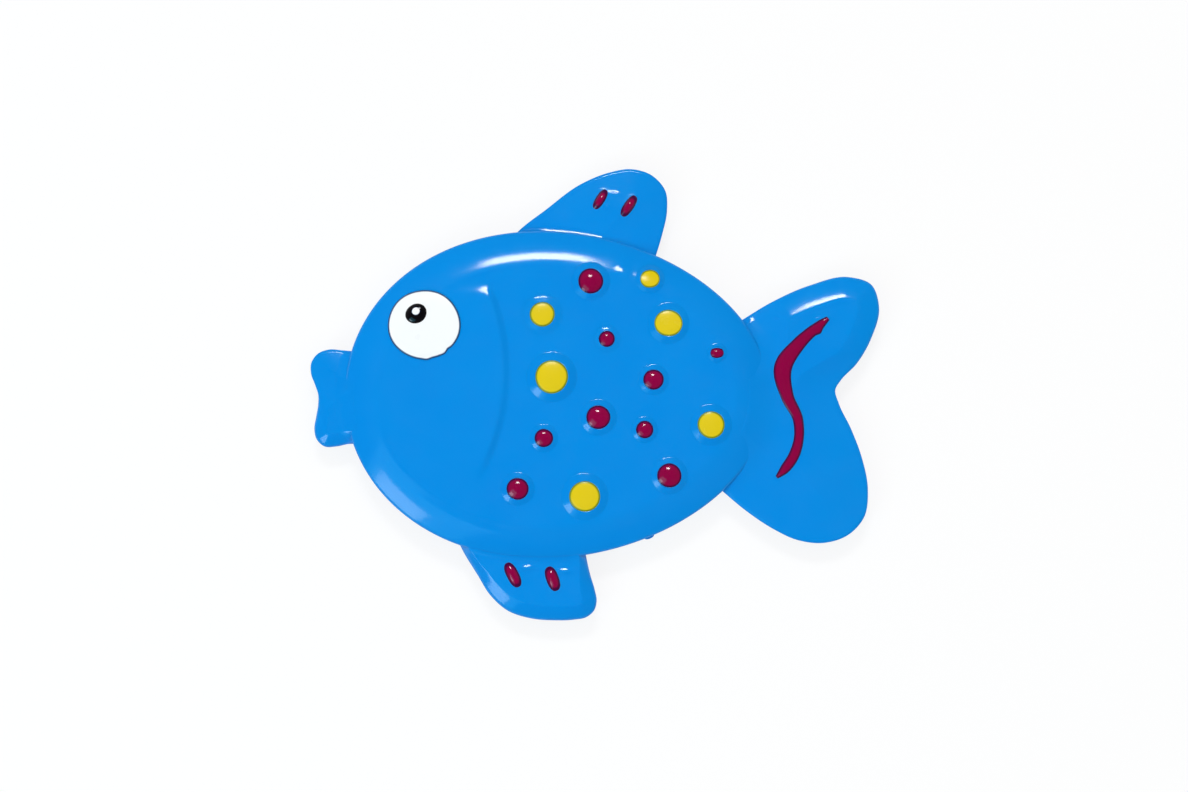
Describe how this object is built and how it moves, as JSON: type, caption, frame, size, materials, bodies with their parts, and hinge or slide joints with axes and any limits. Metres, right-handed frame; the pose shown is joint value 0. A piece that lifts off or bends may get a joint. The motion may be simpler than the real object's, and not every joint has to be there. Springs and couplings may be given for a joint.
{
  "type": "squeaky bath toy",
  "caption": "Flat fish-shaped squeaky bath toy: welded soft-vinyl shells, poured eye, spots and fin marks, a crown that presses in, and a reed squeaker in the back.",
  "frame": {"origin": "on the resting face of the back, under the middle of the fish's outline", "axes": "+X towards the tail, +Y towards the dorsal fin, +Z out of the decorated front"},
  "size_m": [0.125, 0.0992, 0.0133],
  "materials": {
    "blue_vinyl": "glossy moulded soft vinyl",
    "yellow_vinyl": "glossy poured soft vinyl",
    "maroon_vinyl": "glossy poured soft vinyl",
    "white_vinyl": "satin poured soft vinyl",
    "black_vinyl": "glossy poured soft vinyl",
    "squeaker_plastic": "moulded natural polyethylene",
    "reed_film": "clear polyester film"
  },
  "bodies": {
    "shell": {"back_shell": "blue_vinyl", "front_rim": "blue_vinyl", "front_fold": "blue_vinyl", "tail_stripe": "maroon_vinyl", "dorsal_bar_1": "maroon_vinyl", "dorsal_bar_2": "maroon_vinyl", "belly_bar_1": "maroon_vinyl", "belly_bar_2": "maroon_vinyl", "squeaker_plug": "squeaker_plastic", "reed_seat": "squeaker_plastic", "reed_clamp": "squeaker_plastic", "squeaker_cap": "squeaker_plastic"},
    "crown": {"front_crown": "blue_vinyl", "eye_white": "white_vinyl", "eye_pupil": "black_vinyl", "eye_glint": "white_vinyl", "yellow_spot_1": "yellow_vinyl", "yellow_spot_2": "yellow_vinyl", "yellow_spot_3": "yellow_vinyl", "yellow_spot_4": "yellow_vinyl", "yellow_spot_5": "yellow_vinyl", "yellow_spot_6": "yellow_vinyl", "maroon_spot_1": "maroon_vinyl", "maroon_spot_2": "maroon_vinyl", "maroon_spot_3": "maroon_vinyl", "maroon_spot_4": "maroon_vinyl", "maroon_spot_5": "maroon_vinyl", "maroon_spot_6": "maroon_vinyl", "maroon_spot_7": "maroon_vinyl", "maroon_spot_8": "maroon_vinyl", "maroon_spot_9": "maroon_vinyl"},
    "reed": {"reed": "reed_film"}
  },
  "joints": [
    {"name": "squeeze", "type": "slide", "parent": "shell", "child": "crown", "axis": [0, 0, -1], "range_m": [0, 0.0022], "stiffness_N_per_m": 2000, "deforming": ["front_fold"]},
    {"name": "reed_flex", "type": "hinge", "parent": "shell", "child": "reed", "pos_m": [-0.01213, -0.0001, 0.00435], "axis": [0, -1, 0], "range_deg": [-1.4, 3], "stiffness_Nm_per_rad": 0.0004}
  ]
}
